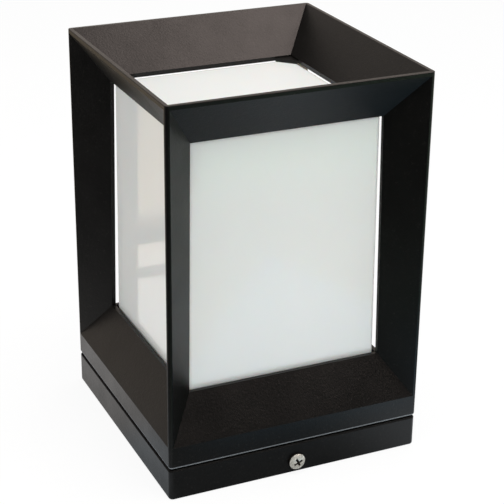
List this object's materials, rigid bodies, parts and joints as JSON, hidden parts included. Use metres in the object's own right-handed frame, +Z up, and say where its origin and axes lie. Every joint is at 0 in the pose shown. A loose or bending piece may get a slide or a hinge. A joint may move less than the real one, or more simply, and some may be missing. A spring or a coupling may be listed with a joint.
{
  "type": "deck post cap light",
  "caption": "Square black post cap lantern: bevelled cast frame round a box-shaped white diffuser, on a skirt that drops over a post-top bracket and is clamped by side screws.",
  "frame": {"origin": "centre of the skirt's lower edge, on the post's axis", "axes": "+Z up along the post, the two clamp screws lie along Y, -Y is the front"},
  "size_m": [0.1306, 0.1364, 0.1935],
  "materials": {
    "frame_coat": "satin",
    "skirt_coat": "satin",
    "opal": "gloss",
    "soft_rubber": "matte",
    "zinc_steel": "satin",
    "screw_steel": "satin",
    "side_screw_steel": "satin",
    "ground_green": "satin",
    "block_plastic": "matte",
    "brass": "satin",
    "porcelain": "gloss",
    "dish_white": "satin",
    "lamp_cap_metal": "satin",
    "lamp_insulator": "gloss",
    "lamp_plastic": "satin",
    "lamp_opal": "matte"
  },
  "bodies": {
    "bracket": {"mount_bracket": "zinc_steel", "cable_grommet": "soft_rubber", "ground_screw": "ground_green", "terminal_block": "block_plastic", "terminal_screws": "screw_steel", "holder_strap": "zinc_steel", "strap_screws": "screw_steel", "holder_nipple": "brass", "holder_nut": "brass", "lampholder_body": "porcelain", "lampholder_shell": "brass", "lampholder_contact": "brass", "reflector_dish": "dish_white", "dish_standoffs": "brass", "dish_screws": "screw_steel"},
    "lamp": {"lamp_cap": "lamp_cap_metal", "lamp_contact": "lamp_insulator", "lamp_housing": "lamp_plastic", "lamp_globe": "lamp_opal"},
    "lantern": {"lantern_frame": "frame_coat", "corner_pads": "soft_rubber", "diffuser": "opal", "flange_gasket": "soft_rubber", "retainer_ring": "zinc_steel", "retainer_screws": "screw_steel", "base_skirt": "skirt_coat", "seam_gasket": "soft_rubber", "base_screws": "screw_steel"},
    "screw_front": {"side_screw_front": "side_screw_steel"},
    "screw_back": {"side_screw_back": "side_screw_steel"}
  },
  "joints": [
    {"name": "lantern_lift", "type": "slide", "parent": "bracket", "child": "lantern", "axis": [0, 0, 1], "range_m": [0, 0.16]},
    {"name": "lamp_turn", "type": "hinge", "parent": "bracket", "child": "lamp", "pos_m": [0, 0, 0.06], "axis": [0, 0, 1], "continuous": true},
    {"name": "front_screw_travel", "type": "slide", "parent": "lantern", "child": "screw_front", "axis": [0, -1, 0], "range_m": [0, 0.005]},
    {"name": "back_screw_travel", "type": "slide", "parent": "lantern", "child": "screw_back", "axis": [0, 1, 0], "range_m": [0, 0.005]}
  ]
}
